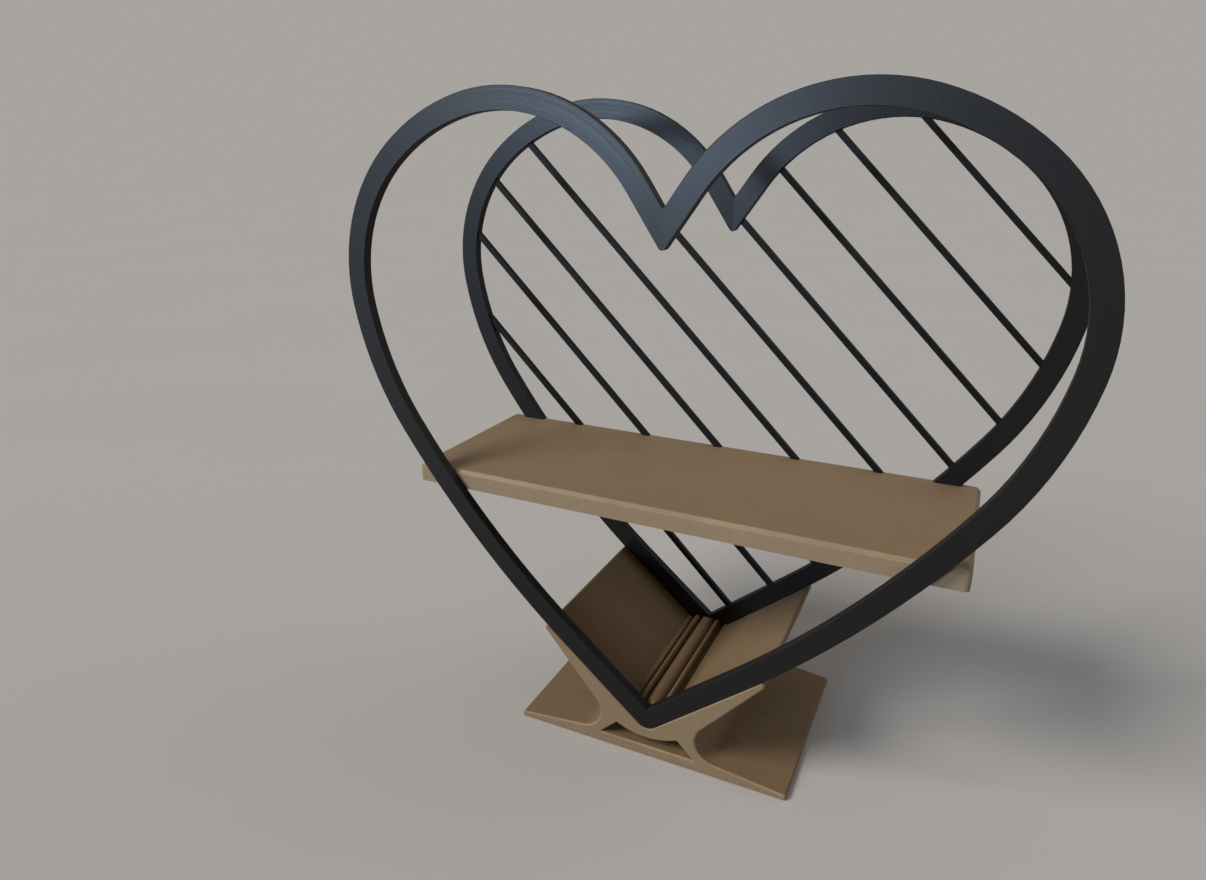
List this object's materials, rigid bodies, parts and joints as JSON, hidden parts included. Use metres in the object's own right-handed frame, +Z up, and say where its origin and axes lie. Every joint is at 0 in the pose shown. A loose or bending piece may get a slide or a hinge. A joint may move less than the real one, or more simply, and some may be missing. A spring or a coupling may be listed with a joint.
{
  "type": "heart-shaped jewellery display stand",
  "caption": "Heart-shaped display stand: front and rear heart frames in a cradle base, slanting hanging bars in the rear frame, a shelf across the middle and a slotted ring rest below.",
  "frame": {"origin": "middle of the stand's underside, on the table", "axes": "+X to the right seen from the front, +Y to the back, +Z up"},
  "size_m": [0.24, 0.0748, 0.2293],
  "materials": {
    "black_plastic": "matte black printed plastic",
    "brown_plastic": "matte brown printed plastic"
  },
  "bodies": {
    "root": {"front_heart_frame": "black_plastic", "back_heart_frame": "black_plastic", "hanging_bar_1": "black_plastic", "hanging_bar_2": "black_plastic", "hanging_bar_3": "black_plastic", "hanging_bar_4": "black_plastic", "hanging_bar_5": "black_plastic", "hanging_bar_6": "black_plastic", "hanging_bar_7": "black_plastic", "hanging_bar_8": "black_plastic", "hanging_bar_9": "black_plastic", "shelf_board": "brown_plastic", "stand": "brown_plastic", "ring_rest": "brown_plastic"}
  },
  "joints": []
}
